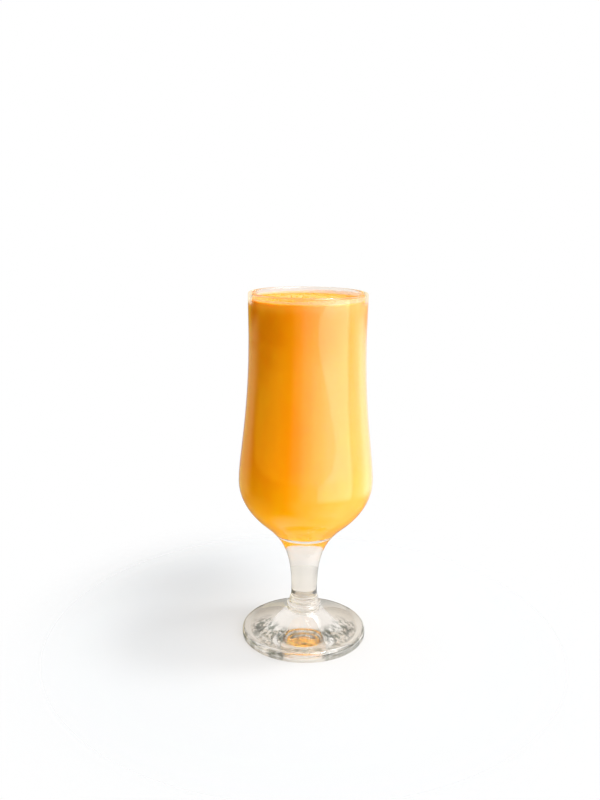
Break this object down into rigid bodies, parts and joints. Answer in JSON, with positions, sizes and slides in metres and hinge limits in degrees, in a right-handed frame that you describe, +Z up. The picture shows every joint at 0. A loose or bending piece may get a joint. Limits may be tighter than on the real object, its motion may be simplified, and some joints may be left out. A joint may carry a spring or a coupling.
{
  "type": "mango lassi in a glass",
  "caption": "Mango lassi filling a clear footed tulip glass almost to its lip: slight waist, low belly, short stem, collar ring and round foot.",
  "frame": {"origin": "the middle of the surface that the foot stands on", "axes": "+Z is up, along the glass's axis of symmetry; the glass is the same from every side"},
  "size_m": [0.0754, 0.0754, 0.2],
  "materials": {
    "clear_glass": "clear, smooth and fire polished",
    "mango_lassi": "thick opaque yellow-orange yoghurt drink, satin, with fine froth on its surface"
  },
  "bodies": {
    "root": {"glass": "clear_glass", "lassi": "mango_lassi"}
  },
  "joints": []
}
